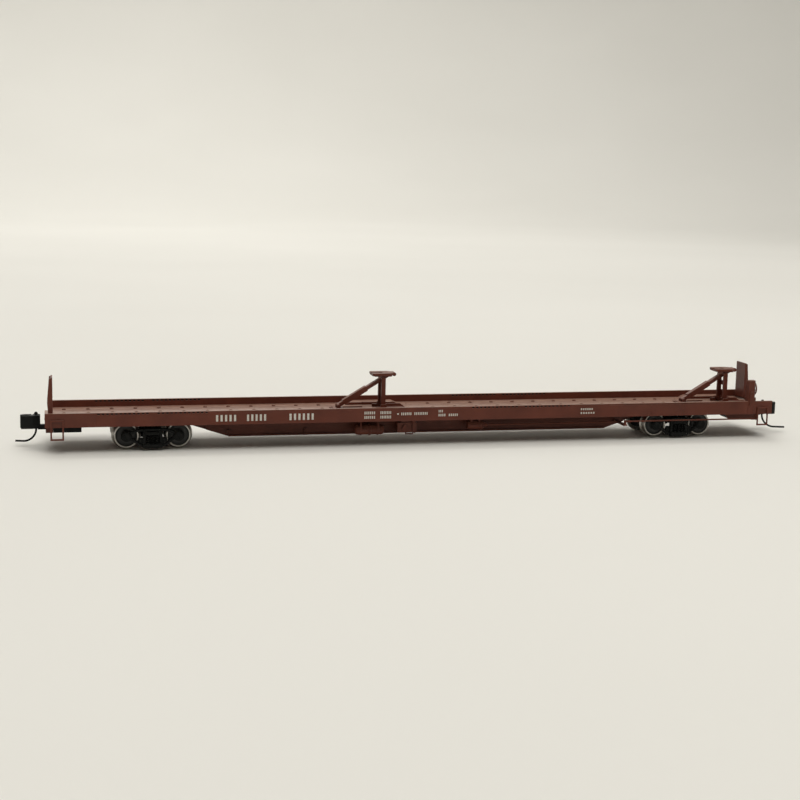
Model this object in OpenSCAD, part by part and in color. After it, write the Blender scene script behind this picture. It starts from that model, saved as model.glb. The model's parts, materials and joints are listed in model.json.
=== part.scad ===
// Piggyback flat car for 9 mm gauge track, 1:160.
// Origin at the middle of the car on the surface that its wheels stand on.
// +X runs along the car to the hand-brake end (end B), +Y across it, +Z up.

/* [Body] */
// Length over the end platforms
body_len = 162; // [156:0.5:168]
// Width over the side sills
body_w = 17.6; // [17:0.1:18.4]
// Height of the deck surface
deck_top = 7; // [6.9:0.05:7.2]
// Thickness of the deck plate
deck_t = 0.55; // [0.4:0.05:0.6]
// Height of the top of the curbs
curb_top = 8.5; // [8:0.02:8.8]
// Underside of the side sills
sill_bottom = 5.55; // [5.4:0.05:5.9]
// Thickness of a side sill and its curb
sill_t = 0.6; // [0.5:0.05:0.7]

/* [Trucks] */
// Distance between the truck pins
truck_centres = 118.1; // [114:0.1:122]
// Distance between the two axles of a truck
truck_wheelbase = 10.8; // [10.4:0.1:11]
// Radius of the wheel flanges, which the car stands on
flange_r = 3.05; // [3:0.01:3.1]
// Radius of the wheel treads
tread_r = 2.62; // [2.5:0.01:2.7]
// Radius of a truck pin
truck_pin_r = 0.8; // [0.7:0.05:0.9]

/* [Couplers] */
// Distance from the middle of the car to a coupler's swing axis
coupler_pivot_x = 76.2; // [76:0.1:76.4]
// Distance from the middle of the car to a coupler's front face
coupler_face_x = 86; // [85.7:0.1:86.3]
// Radius of the trip wire
trip_r = 0.21; // [0.18:0.01:0.25]

/* [Trailer hitches] */
// Position of the upright of the middle hitch
mid_hitch_x = -8.75; // [-12:0.05:-6]
// Position of the upright of the end hitch
end_hitch_x = 72.45; // [72:0.05:72.6]
// Distance between the upper and the lower pivot of the upright
post_len = 5.85; // [5.7:0.05:6]
// Distance along the deck from the upright to the strut's foot
strut_reach = 9.75; // [9.5:0.05:10]
// Length of the head plate
head_len = 5.1; // [4.9:0.1:5.6]
// Width of the head plate
head_w = 4.2; // [4:0.1:4.4]

/* [Bridge plates] */
// Height of the top edge of a raised bridge plate
bridge_top = 15.6; // [14:0.05:16]
// Width of a bridge plate
bridge_w = 4.4; // [4:0.1:4.6]

/* [Hidden] */
$fn = 48;

// colours
car_red = "#5c2f28";
plastic_black = "#26282a";
wheel_metal = "#8a8782";
weight_steel = "#7d8084";

// body
half_len = body_len / 2;
half_w = body_w / 2;
deck_under = deck_top - deck_t;
seam_gap = 0.02;
floor_half_w = half_w - sill_t - seam_gap;
corner_x = half_len - 0.1;
platform_w = 9.2;
end_sill_t = 0.6;
notch_x = half_len - 1.05;
sill_flange_w = 1;
sill_flange_t = 0.25;
hole_r = 0.22;
hole_depth = 0.3;
hole_pitch = 5;
hole_first = -77;
hole_last = 78;
hole_row_y = 5.1;
pad_h = 0.52;
pad_inner_y = 4.95;
slot_pitch = 0.9;
slot_len = 0.52;
slot_depth = 0.28;
inner_slot_depth = 0.18;
slot_lip = 0.12;
slot_count = 12;
slot_starts = [-70.4, -58.2, 9.55, 21.6];
groove_x = [41.3, 67];
seam_x = [-70.9, 43.5, 51.3, 59.2];

// centre sill
sill_half_w = 2.1;
sill_flange_half_w = 2.6;
sill_low = 1.84;
sill_neck_z = 5.05;
sill_neck_half_w = 1.6;
belly_x = 42.8;
neck_step_x = 47.5;
neck_x = 52.9;
sill_wall = 0.55;
body_bolster_z = 5.35;

// trucks
axle_z = flange_r;
truck_x = truck_centres / 2;
axle_dx = truck_wheelbase / 2;
wheel_inner_y = 3.78;
wheel_outer_y = 5.66;
flange_t = 0.55;
axle_r = 0.62;
axle_shoulder_y = 5.85;
axle_tip_y = 6.6;
axle_tip_r = 0.14;
bearing_gap = 0.06;
frame_in_y = 6;
frame_out_y = 6.75;
bearing_out_y = 7.1;
bolster_top = 4.95;
truck_bore_r = truck_pin_r + 0.06;

// couplers
pocket_back_x = 73.5;
pocket_front_x = half_len - 0.2;
striker_x = 79.3;
pocket_half_w = 2.35;
cavity_half_w = 1.85;
lid_low = 3.38;
lid_top = 4.38;
cavity_low = 3.74;
cavity_top = 4.95;
shank_low = 3.84;
shank_top = 4.82;
post_r = 0.7;
screw_r = 0.4;
head_back_x = 81.9;
head_low = 4.1;
head_top = 6.85;
knuckle_x = 82.75;
knuckle_y = -0.55;

// hitches
pivot_low = deck_top + 0.75;
pivot_high = pivot_low + post_len;
pin_r = 0.25;
pin_gap = 0.04;
leg_in_y = 1.3;
leg_out_y = 1.85;
leg_half = 0.48;
rail_in_y = 1.95;
rail_out_y = 2.4;
rail_h = 0.65;
strut_len = sqrt(strut_reach * strut_reach + post_len * post_len);
strut_tilt = atan2(post_len, strut_reach);
strut_half_w = 0.65;
lug_in_y = 0.75;
lug_out_y = 1.2;
boss_low = pivot_high + 0.62;
plate_low = boss_low + 0.27;
plate_top = plate_low + 0.46;
head_back_edge = -2.45;
head_nose = head_back_edge + head_len;

// bridge plates
bridge_y = 4.7;
bridge_axis_x = 79.9;
bridge_axis_z = deck_top + 0.5;
bridge_face_x = 79.3;
bridge_plate_t = 0.35;

// brake gear
stand_x = 74.9;
stand_len = 1.75;
stand_in_y = -7.2;
stand_out_y = -8.9;
stand_top = 13.2;
wheel_y = -7;
wheel_z = 11.2;
wheel_x = stand_x + stand_len + 0.25;
wheel_r = 1.65;
rod_y = -8.35;
rod_z = 4.4;
step_y = half_w;

// A box from its lowest to its highest corner
module box(lo, hi) {
    translate(lo)
        cube(hi - lo);
}

// A round bar along +Y between two values of y
module bar_y(x, z, r, y0, y1) {
    translate([x, y0, z])
        rotate([-90, 0, 0])
            cylinder(r = r, h = y1 - y0);
}

// A round bar along +X between two values of x
module bar_x(y, z, r, x0, x1) {
    translate([x0, y, z])
        rotate([0, 90, 0])
            cylinder(r = r, h = x1 - x0);
}

// An outline in the XZ plane, carried from y0 to y1
module side_plate(points, y0, y1) {
    translate([0, y1, 0])
        rotate([90, 0, 0])
            linear_extrude(y1 - y0)
                polygon(points);
}

// Children at +Y and, mirrored, at -Y
module both_sides() {
    for (m = [0, 1])
        mirror([0, m, 0])
            children();
}

// Children made for end B, turned round for end A
module at_end(end) {
    rotate([0, 0, end == "a" ? 180 : 0])
        children();
}

// ---- body ----

// A side sill with its curb and bottom flange, a bar of its own beside the floor
module side_sill() {
    box([-corner_x, half_w - sill_t, sill_bottom], [corner_x, half_w, curb_top]);
    flange_x = corner_x - end_sill_t - seam_gap;
    box([-flange_x, half_w - sill_flange_w, sill_bottom], [flange_x, half_w, sill_bottom + sill_flange_t]);
}

module deck_pad(x) {
    run = [[x - 7.2, deck_top], [x - 6.2, deck_top + pad_h], [x + 3.8, deck_top + pad_h], [x + 5, deck_top]];
    side_plate([for (p = run) p + [0, seam_gap]], pad_inner_y, floor_half_w);
}

module bridge_lugs() {
    for (y = [bridge_y - bridge_w / 2 - 0.5, bridge_y + bridge_w / 2 + 0.1])
        difference() {
            union() {
                box([bridge_axis_x - 0.4, y, deck_top + seam_gap],
                    [bridge_axis_x + 0.4, y + 0.4, bridge_axis_z]);
                bar_y(bridge_axis_x, bridge_axis_z, 0.4, y, y + 0.4);
            }
            bar_y(bridge_axis_x, bridge_axis_z, pin_r, y - 1, y + 1.4);
        }
}

// Rows of short stake slots on both faces of the curb, one long groove and the seams of the sill's plates
module sill_marks() {
    for (start = slot_starts, i = [0 : slot_count - 1]) {
        x = start + i * slot_pitch;
        box([x, half_w - slot_depth, curb_top - 0.46], [x + slot_len, half_w + 1, curb_top - slot_lip]);
        box([x, 0, curb_top - 0.5], [x + slot_len, half_w - sill_t + inner_slot_depth, curb_top - slot_lip]);
    }
    box([groove_x[0], half_w - 0.12, curb_top - 0.34], [groove_x[1], half_w + 1, curb_top - 0.2]);
    for (x = seam_x)
        box([x, half_w - 0.06, sill_bottom + 0.2], [x + 0.12, half_w + 1, curb_top - 0.5]);
}

module deck_holes(y, skip) {
    for (x = [hole_first : hole_pitch : hole_last])
        if (!skip || (abs(x - mid_hitch_x + 3) > 8 && x < end_hitch_x - 11))
            translate([x, y, deck_top - hole_depth])
                cylinder(r = hole_r, h = 1, $fn = 12);
}

// Floor, side sills, end sills, pads and lugs: separate mouldings, a glue line apart
module deck() {
    color(car_red)
        difference() {
            union() {
                box([-corner_x, -floor_half_w, deck_under], [corner_x, floor_half_w, deck_top]);
                box([-half_len, -platform_w / 2, deck_under], [half_len, platform_w / 2, deck_top]);
                both_sides()
                    side_sill();
                for (m = [0, 1])
                    mirror([m, 0, 0])
                        box([corner_x - end_sill_t, -floor_half_w, sill_bottom],
                            [corner_x, floor_half_w, deck_under - seam_gap]);
                for (x = [mid_hitch_x, end_hitch_x])
                    both_sides()
                        deck_pad(x);
                for (end = ["a", "b"])
                    at_end(end)
                        bridge_lugs();
            }
            both_sides()
                sill_marks();
            deck_holes(hole_row_y, false);
            deck_holes(0, true);
            deck_holes(-hole_row_y, false);
            box([-half_len - 1, platform_w / 2, sill_bottom - 1], [-notch_x, half_w + 1, curb_top + 1]);
            for (m = [0, 1])
                mirror([m, 0, 0])
                    box([pocket_front_x - 1.2, -pocket_half_w, sill_bottom - 1],
                        [half_len + 1, pocket_half_w, deck_under]);
        }
}

module belly_outline() {
    polygon([
        [-neck_x, deck_under], [-neck_x, sill_neck_z], [-belly_x, sill_low],
        [belly_x, sill_low], [neck_x, sill_neck_z], [neck_x, deck_under]
    ]);
}

module centre_sill() {
    difference() {
        union() {
            translate([0, sill_half_w, 0])
                rotate([90, 0, 0])
                    linear_extrude(2 * sill_half_w)
                        belly_outline();
            box([-belly_x, -sill_flange_half_w, sill_low], [belly_x, sill_flange_half_w, sill_low + 0.3]);
        }
        box([-belly_x, -sill_half_w + sill_wall, sill_low + sill_wall],
            [belly_x, sill_half_w - sill_wall, deck_top]);
        for (m = [0, 1])
            mirror([m, 0, 0])
                both_sides()
                    box([neck_step_x, sill_neck_half_w, 0], [neck_x + 1, sill_half_w + 1, deck_top]);
    }
}

module cross_bearer(x) {
    translate([x + 0.25, 0, 0])
        rotate([90, 0, -90])
            linear_extrude(0.5)
                polygon([
                    [sill_half_w - 0.1, deck_under], [sill_half_w - 0.1, 4.4],
                    [half_w - sill_flange_w - 0.1, sill_bottom + 0.1],
                    [half_w - sill_flange_w - 0.1, deck_under]
                ]);
}

module body_bolster() {
    box([truck_x - 1.2, -half_w + sill_flange_w + 0.05, body_bolster_z + 0.25],
        [truck_x + 1.2, half_w - sill_flange_w - 0.05, deck_under]);
    translate([truck_x, 0, sill_neck_z])
        cylinder(r = 2, h = deck_under - sill_neck_z);
}

module coupler_pocket() {
    difference() {
        union() {
            box([pocket_back_x, -pocket_half_w, lid_top], [pocket_front_x, pocket_half_w, deck_under]);
            box([striker_x, -pocket_half_w, lid_low], [pocket_front_x, pocket_half_w, deck_under]);
        }
        box([pocket_back_x + 0.4, -cavity_half_w, 0], [half_len + 1, cavity_half_w, cavity_top]);
        translate([coupler_pivot_x, 0, cavity_top - 1])
            cylinder(r = screw_r, h = 1.9);
    }
    box([striker_x, -pocket_half_w, lid_low], [pocket_front_x, pocket_half_w, cavity_low - 0.06]);
}

module sill_neck() {
    box([neck_x - 0.2, -sill_neck_half_w, sill_neck_z], [pocket_back_x + 0.2, sill_neck_half_w, deck_under]);
}

module underframe() {
    color(car_red)
        difference() {
            union() {
                centre_sill();
                for (x = [9.4 : 9.4 : 38])
                    for (m = [0, 1])
                        mirror([m, 0, 0])
                            both_sides()
                                cross_bearer(x);
                for (m = [0, 1])
                    mirror([m, 0, 0]) {
                        sill_neck();
                        body_bolster();
                        coupler_pocket();
                    }
                for (x = [-42.8, -26.1])
                    box([x - 0.3, -sill_flange_half_w - 0.25, sill_low + 0.6], [x + 0.3, -sill_half_w, 3.3]);
            }
            for (m = [0, 1])
                mirror([m, 0, 0])
                    translate([truck_x, 0, sill_neck_z - 1])
                        cylinder(r = truck_pin_r, h = 2.1);
        }
}

module ballast_weight() {
    color(weight_steel)
        box([-belly_x + 0.2, -sill_half_w + sill_wall + 0.03, sill_low + sill_wall + 0.03],
            [belly_x - 0.2, sill_half_w - sill_wall - 0.03, deck_under - 0.05]);
}

// ---- trucks ----

function frame_outline() = [
    [-6.4, 2.3], [-4.2, 2.4], [-3.1, 1.9], [-2, 0.6], [2, 0.6], [3.1, 1.9], [4.2, 2.4], [6.4, 2.3],
    [6.4, 3.7], [4.8, 4.1], [3, 4.85], [-3, 4.85], [-4.8, 4.1], [-6.4, 3.7]
];

module side_frame() {
    difference() {
        union() {
            side_plate(frame_outline(), frame_in_y, frame_out_y);
            for (x = [-axle_dx, axle_dx])
                bar_y(x, axle_z, 0.95, frame_in_y, bearing_out_y);
            for (x = [-0.95, 0, 0.95])
                translate([x, (frame_out_y + bearing_out_y) / 2, 1.75])
                    cylinder(r = 0.38, h = 1.5);
            box([-1.6, frame_out_y - 0.1, 1.1], [1.6, bearing_out_y + 0.1, 1.75]);
            box([-1.6, frame_out_y - 0.1, 3.2], [1.6, bearing_out_y, 3.9]);
        }
        for (m = [0, 1])
            mirror([m, 0, 0])
                side_plate([[1.9, 2.7], [2.5, 2.8], [3.3, 3.5], [2.9, 3.9], [2, 3.9]], 5, 8);
        for (x = [-axle_dx, axle_dx])
            translate([x, 0, axle_z])
                rotate([-90, 0, 0])
                    rotate_extrude()
                        polygon([
                            [0, frame_in_y - 1], [axle_r + bearing_gap, frame_in_y - 1],
                            [axle_r + bearing_gap, axle_shoulder_y],
                            [axle_tip_r + bearing_gap, axle_tip_y + 0.05], [0, axle_tip_y + 0.05]
                        ]);
    }
}

module truck_frame() {
    difference() {
        union() {
            both_sides()
                side_frame();
            box([-1.55, -frame_in_y - 0.2, 3], [1.55, frame_in_y + 0.2, 4.45]);
            translate([0, 0, 3])
                cylinder(r = 2.1, h = bolster_top - 3);
            both_sides()
                translate([0, 4.6, 4])
                    cylinder(r = 0.5, h = 0.95);
        }
        translate([0, 0, 2])
            cylinder(r = truck_bore_r, h = 4);
    }
}

module truck_pin() {
    translate([0, 0, sill_neck_z - 2.45])
        cylinder(r = 1.35, h = 0.35);
    translate([0, 0, sill_neck_z - 2.15])
        cylinder(r = truck_pin_r, h = 3.2);
}

module axle() {
    rotate([-90, 0, 0])
        rotate_extrude()
            polygon([
                [0, -axle_tip_y], [axle_tip_r, -axle_tip_y], [axle_r, -axle_shoulder_y],
                [axle_r, -wheel_inner_y], [0.8, -wheel_inner_y + 0.3], [0.8, wheel_inner_y - 0.3],
                [axle_r, wheel_inner_y], [axle_r, axle_shoulder_y], [axle_tip_r, axle_tip_y], [0, axle_tip_y]
            ]);
}

// One wheel: flange inboard, coned tread, dished plate and a hub
module wheel() {
    rotate([-90, 0, 0])
        rotate_extrude($fn = 72)
            polygon([
                [axle_r, wheel_inner_y], [1.2, wheel_inner_y], [1.3, wheel_inner_y + 0.3],
                [2.1, wheel_inner_y + 0.3], [2.25, wheel_inner_y],
                [flange_r - 0.12, wheel_inner_y], [flange_r, wheel_inner_y + 0.16],
                [flange_r - 0.05, wheel_inner_y + 0.38], [tread_r + 0.05, wheel_inner_y + flange_t],
                [tread_r, wheel_inner_y + flange_t + 0.1], [tread_r - 0.06, wheel_outer_y - 0.08],
                [tread_r - 0.14, wheel_outer_y], [2.3, wheel_outer_y], [2.18, wheel_outer_y - 0.35],
                [1.15, wheel_outer_y - 0.5], [1.05, wheel_outer_y - 0.08], [axle_r, wheel_outer_y - 0.08]
            ]);
}

module axle_at(n) {
    x = (n < 3 ? -truck_x : truck_x) + (n % 2 == 1 ? -axle_dx : axle_dx);
    translate([x, 0, axle_z])
        children();
}

// ---- couplers, made for end B ----

module coupler_head() {
    difference() {
        union() {
            translate([coupler_pivot_x, 0, shank_low])
                cylinder(r = 1.3, h = shank_top - shank_low);
            box([coupler_pivot_x, -0.6, shank_low], [head_back_x + 0.5, 0.6, shank_top]);
            translate([0, 0, head_low])
                linear_extrude(head_top - head_low)
                    polygon([
                        [head_back_x, -0.75], [head_back_x + 0.35, -1.25], [83, -1.25], [83.45, -0.95],
                        [83.55, -0.05],
                        [84.1, 0.25], [84.1, 0.55], [coupler_face_x - 0.5, 0.95],
                        [coupler_face_x - 0.2, 1.3], [83.4, 1.3], [head_back_x, 0.75]
                    ]);
        }
        translate([0, 0, head_low + 0.4])
            linear_extrude(head_top - head_low - 0.8)
                union() {
                    translate([knuckle_x, knuckle_y])
                        circle(r = 0.78);
                    polygon([
                        [knuckle_x - 0.3, knuckle_y - 0.75], [84, -1.7], [84, 0.16],
                        [knuckle_x, 0.2]
                    ]);
                }
        translate([coupler_pivot_x, 0, 0])
            cylinder(r = post_r + 0.06, h = 10);
        translate([knuckle_x, knuckle_y, 0])
            cylinder(r = trip_r + pin_gap, h = 10);
    }
}

module knuckle() {
    difference() {
        union() {
            translate([0, 0, head_low + 0.46])
                linear_extrude(head_top - head_low - 0.92)
                    union() {
                        translate([knuckle_x, knuckle_y])
                            circle(r = 0.68);
                        polygon([[knuckle_x, -1.22], [84.1, -1.24], [84.1, -0.35], [knuckle_x, 0.08]]);
                    }
            translate([0, 0, head_low])
                linear_extrude(head_top - head_low)
                    polygon([
                        [83.65, -1.24], [85.2, -1.3], [coupler_face_x - 0.15, -0.95], [coupler_face_x, -0.4],
                        [85.75, 0.1], [85.15, 0.05], [85.05, -0.35], [84.5, -0.5], [83.65, -0.35]
                    ]);
        }
        translate([knuckle_x, knuckle_y, 0])
            cylinder(r = trip_r, h = 10);
    }
}

// Wire that hangs through the coupler, then curves forward and a little sideways
module trip_pin() {
    bend_r = 2.85;
    bend_z = 3.95;
    translate([knuckle_x, knuckle_y, 0]) {
        translate([0, 0, bend_z])
            cylinder(r = trip_r, h = head_top + 0.3 - bend_z);
        translate([0, 0, head_top + 0.06])
            cylinder(r1 = 0.45, r2 = 0.24, h = 0.5);
        rotate([0, 0, -17]) {
            translate([bend_r, 0, bend_z])
                rotate([90, 0, 0])
                    rotate([0, 0, 180])
                        rotate_extrude(angle = 90)
                            translate([bend_r, 0])
                                circle(r = trip_r);
            bar_x(0, bend_z - bend_r, trip_r, bend_r, bend_r + 2.1);
        }
    }
}

module pocket_lid() {
    difference() {
        union() {
            difference() {
                box([pocket_back_x, -pocket_half_w, lid_low], [striker_x - 0.02, pocket_half_w, lid_top]);
                box([pocket_back_x + 0.4, -cavity_half_w, cavity_low],
                    [striker_x + 1, cavity_half_w, lid_top + 1]);
            }
            translate([coupler_pivot_x, 0, lid_low])
                cylinder(r = post_r, h = cavity_top - lid_low);
        }
        translate([coupler_pivot_x, 0, 0])
            cylinder(r = screw_r, h = 8);
    }
}

module lid_screw() {
    difference() {
        union() {
            translate([coupler_pivot_x, 0, lid_low - 0.3])
                cylinder(r = 0.75, h = 0.3);
            translate([coupler_pivot_x, 0, lid_low - 0.05])
                cylinder(r = screw_r, h = 2.3);
        }
        box([coupler_pivot_x - 1, -0.09, 0], [coupler_pivot_x + 1, 0.09, lid_low - 0.14]);
    }
}

module centring_leaf() {
    box([pocket_back_x + 0.6, -1.7, shank_low + 0.1], [pocket_back_x + 0.75, 1.7, shank_top - 0.1]);
    both_sides()
        box([pocket_back_x + 0.42, 1.45, shank_low + 0.1], [pocket_back_x + 0.62, 1.7, shank_top - 0.1]);
}

// ---- trailer hitches, made with the upright at x = 0 ----

module hitch_base() {
    both_sides() {
        difference() {
            union() {
                side_plate([
                    [-1.7, deck_top], [-1.7, deck_top + rail_h], [4.6, deck_top + rail_h], [5.6, deck_top]
                ], rail_in_y, rail_out_y);
                side_plate([
                    [-0.75, deck_top + 0.3], [-0.55, pivot_low + 0.4], [0.55, pivot_low + 0.4],
                    [0.75, deck_top + 0.3]
                ], rail_in_y, rail_out_y);
            }
            bar_y(0, pivot_low, pin_r, 0, 5);
        }
        box([-strut_reach - 1.6, 1.55, deck_top], [-strut_reach + 5.8, 1.85, deck_top + 0.2]);
    }
    box([-strut_reach - 1.6, -1.85, deck_top], [-strut_reach - 1.35, 1.85, deck_top + 0.2]);
}

module hitch_trunnions() {
    both_sides()
        bar_y(0, pivot_low, pin_r, leg_in_y, rail_out_y);
}

module hitch_post() {
    difference() {
        union() {
            both_sides() {
                box([-leg_half, leg_in_y, pivot_low], [leg_half, leg_out_y, pivot_high]);
                bar_y(0, pivot_low, leg_half, leg_in_y, leg_out_y);
                bar_y(0, pivot_high, leg_half, leg_in_y, leg_out_y);
            }
            box([0.3, -leg_in_y - 0.1, pivot_low + 0.5], [leg_half, leg_in_y + 0.1, pivot_low + 2.1]);
            box([0.3, -leg_in_y - 0.1, pivot_low + 3.2], [leg_half, leg_in_y + 0.1, pivot_low + 4.25]);
        }
        bar_y(0, pivot_low, pin_r + pin_gap, -5, 5);
        bar_y(0, pivot_high, pin_r, -5, 5);
    }
}

module hitch_head_pin() {
    bar_y(0, pivot_high, pin_r, -leg_out_y - 0.1, leg_out_y + 0.1);
}

module hitch_head() {
    r = 0.55;
    difference() {
        union() {
            translate([0, 0, plate_low])
                linear_extrude(plate_top - plate_low)
                    polygon([
                        [head_back_edge, -head_w / 2 + 0.3], [head_back_edge + 0.3, -head_w / 2],
                        [head_nose - 1.3, -head_w / 2], [head_nose, -1], [head_nose, 1],
                        [head_nose - 1.3, head_w / 2], [head_back_edge + 0.3, head_w / 2],
                        [head_back_edge, head_w / 2 - 0.3]
                    ]);
            both_sides()
                side_plate([
                    [-0.45, pivot_high], [-0.45, plate_low + 0.1], [2, plate_low + 0.1], [0.45, pivot_high]
                ], lug_in_y, lug_out_y);
            box([-1.9, -head_w / 2 + 0.25, boss_low], [1.7, head_w / 2 - 0.25, plate_low + 0.1]);
            both_sides()
                bar_y(0, pivot_high, 0.45, lug_in_y, lug_out_y);
            for (y = [-1.65 : 0.55 : 1.65])
                box([1.6, y - 0.14, boss_low + 0.05], [head_nose - 0.75, y + 0.14, plate_low + 0.1]);
            bar_y(head_nose - 0.1, plate_low + 0.12, 0.42, -1, 1);
        }
        both_sides()
            bar_y(0, pivot_high, pin_r + pin_gap, 0, 2);
        translate([-0.4, 0, boss_low - 0.5])
            cylinder(r = r, h = 4);
        side_plate([[-3, boss_low - 1], [-0.6, boss_low - 1], [-0.6, plate_top + 1], [-3, plate_top + 1]],
            -0.34, 0.34);
    }
}

module strut_bar(r0, r1, half) {
    box([-r1, -strut_half_w, -half], [-r0, strut_half_w, half]);
}

module hitch_strut() {
    translate([0, 0, pivot_high])
        rotate([0, -strut_tilt, 0])
            difference() {
                union() {
                    strut_bar(0, strut_len, 0.38);
                    strut_bar(4.1, strut_len - 1.4, 0.58);
                    bar_y(0, 0, 0.45, -strut_half_w, strut_half_w);
                    bar_y(-strut_len, 0, 0.38, -strut_half_w, strut_half_w);
                }
                bar_y(0, 0, pin_r + pin_gap, -1, 1);
                bar_y(-strut_len, 0, 0.2, -1, 1);
            }
}

module hitch_foot_pin() {
    bar_y(-strut_reach, pivot_low, 0.2, -1.3, 1.3);
}

module hitch_shoe() {
    difference() {
        union() {
            box([-strut_reach - 1.2, -1.45, deck_top + 0.04], [-strut_reach + 1.2, 1.45, deck_top + 0.28]);
            both_sides() {
                box([-strut_reach - 0.38, lug_in_y, deck_top + 0.1],
                    [-strut_reach + 0.38, lug_out_y, pivot_low]);
                bar_y(-strut_reach, pivot_low, 0.38, lug_in_y, lug_out_y);
            }
        }
        bar_y(-strut_reach, pivot_low, 0.2 + pin_gap, -2, 2);
    }
}

module at_hitch(where) {
    translate([where == "mid" ? mid_hitch_x : end_hitch_x, 0, 0])
        children();
}

// ---- bridge plates, made for end B ----

module bridge_plate() {
    y0 = bridge_y - bridge_w / 2;
    y1 = bridge_y + bridge_w / 2;
    difference() {
        union() {
            box([bridge_face_x, y0, bridge_axis_z + 0.1], [bridge_face_x + bridge_plate_t, y1, bridge_top]);
            bar_y(bridge_axis_x, bridge_axis_z, 0.42, y0, y1);
            box([bridge_face_x, y0, bridge_axis_z - 0.05], [bridge_axis_x, y1, bridge_axis_z + 0.42]);
            for (y = [y0, y1 - 0.4])
                side_plate([
                    [bridge_face_x + 0.2, bridge_axis_z + 0.2], [bridge_axis_x + 0.3, bridge_axis_z + 0.3],
                    [bridge_axis_x + 0.5, 10.5], [bridge_axis_x + 0.05, bridge_top - 0.2],
                    [bridge_face_x + 0.2, bridge_top - 0.2]
                ], y, y + 0.4);
        }
        bar_y(bridge_axis_x, bridge_axis_z, pin_r + pin_gap, y0 - 1, y1 + 1);
    }
}

module bridge_pin() {
    bar_y(bridge_axis_x, bridge_axis_z, pin_r, bridge_y - bridge_w / 2 - 0.5, bridge_y + bridge_w / 2 + 0.5);
}

// ---- brake gear ----

module brake_stand() {
    x1 = stand_x + stand_len;
    color(car_red)
        difference() {
            union() {
                translate([0, 0, sill_bottom])
                    linear_extrude(stand_top - sill_bottom)
                        polygon([
                            [stand_x, stand_out_y], [x1 - 0.4, stand_out_y], [x1, stand_out_y + 0.5],
                            [x1, stand_in_y], [stand_x, stand_in_y]
                        ]);
                box([x1 - 0.3, wheel_y - 1.5, 8.5], [x1 + 0.25, wheel_y - 0.6, 9.3]);
            }
            box([stand_x - 1, -half_w, sill_bottom - 1], [x1 + 1, -half_w + sill_t, curb_top]);
            box([stand_x - 1, -half_w + sill_t - 0.1, sill_bottom - 1],
                [x1 + 1, stand_in_y + 1, deck_top + seam_gap + pad_h]);
            bar_x(wheel_y, wheel_z, pin_r + pin_gap, x1 - 0.8, x1 + 1);
        }
}

module brake_wheel() {
    color(car_red)
        translate([wheel_x, wheel_y, wheel_z])
            rotate([0, 90, 0]) {
                rotate_extrude($fn = 64)
                    translate([wheel_r - 0.2, 0])
                        circle(r = 0.2, $fn = 24);
                for (i = [0 : 4])
                    rotate([0, 0, i * 72])
                        translate([0, -0.14, -0.1])
                            cube([wheel_r - 0.2, 0.28, 0.2]);
                translate([0, 0, -0.2])
                    cylinder(r = 0.45, h = 0.5);
                translate([0, 0, -0.95])
                    cylinder(r = pin_r, h = 1);
            }
}

module brake_grab() {
    r = 0.12;
    y = stand_out_y - r;
    color(car_red) {
        translate([stand_x + 0.35, y, 7.6])
            cylinder(r = r, h = 3);
        bar_x(y, 10.6, r, stand_x + 0.35, stand_x + 1.1);
        translate([stand_x + 0.35, y, 10.6])
            sphere(r = r);
    }
}

module hand_brake_rod() {
    color(car_red)
        bar_x(rod_y, rod_z, 0.17, 45.8, 77);
}

module brake_lever_bracket() {
    color(car_red) {
        box([44.9, rod_y - 0.3, 3.4], [45.8, -sill_half_w, 3.7]);
        translate([45.4, rod_y, 3.4])
            cylinder(r = 0.3, h = 1.25);
        box([77, rod_y - 0.25, 4.15], [77.5, rod_y + 0.25, sill_bottom]);
        side_plate([[71.7, 5.3], [73.2, lid_low], [striker_x - 0.1, lid_low], [striker_x - 0.1, 5.3]],
            -pocket_half_w - 0.35, -pocket_half_w);
    }
}

module pull_rod() {
    color(car_red)
        bar_x(-4.5, 3.6, 0.22, 14.6, 44.9);
}

module brake_cylinder() {
    color(car_red) {
        translate([9.6, -4.5, 3.6])
            rotate([0, 90, 0])
                rotate_extrude()
                    polygon([[0, 0], [0.8, 0], [0.95, 0.25], [0.95, 3], [1.1, 3], [1.1, 3.5], [0.95, 3.5],
                        [0.5, 4.4], [0.22, 5], [0, 5]]);
        box([10.4, -5.1, 4.3], [12.6, -3.9, deck_under]);
    }
}

module air_reservoir() {
    color(car_red) {
        translate([-15.8, -5, 3.15])
            rotate([0, 90, 0])
                rotate_extrude()
                    polygon([
                        [0, 0], [0.8, 0.1], [1.1, 0.5], [1.1, 3.1], [1.27, 3.1], [1.27, 3.45], [1.1, 3.45],
                        [1.1, 6.1], [0.8, 6.5], [0, 6.6]]);
        for (x = [-14.9, -10.9])
            box([x, -5.5, 4], [x + 0.6, -4.5, deck_under]);
    }
}

module control_valve() {
    color(car_red) {
        box([-6.2, -5, 2.3], [-1.8, -3.4, 4.5]);
        box([-5.4, -4.7, 4.4], [-2.6, -3.7, deck_under]);
        box([-2.9, -5.35, 2.25], [-2.2, -4.9, 5.2]);
        bar_y(-4.6, 3.4, 0.6, -5.35, -4.9);
        bar_x(-4.5, 1.95, 0.13, -4.3, -2.6);
        translate([-4.2, -4.5, 1.95])
            cylinder(r = 0.13, h = 0.5);
    }
}

// Stirrup step: flat strap outside the sill, made for the -Y side of end B
module sill_step() {
    x0 = 77.12;
    x1 = 79.84;
    y0 = -step_y - 0.35;
    t = 0.34;
    difference() {
        box([x0, y0, 2.95], [x1, -step_y, 7.15]);
        box([x0 + t, y0 - 1, 3.3], [x1 - t, 0, 6.8]);
        box([x0 + t, y0 + 0.25, 3.2], [x1 - t, 0, 6.9]);
        box([x0 - 1, y0 + 0.2, 0], [x1 + 1, 0, 5.4]);
    }
}

// ---- the nodes ----

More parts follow.
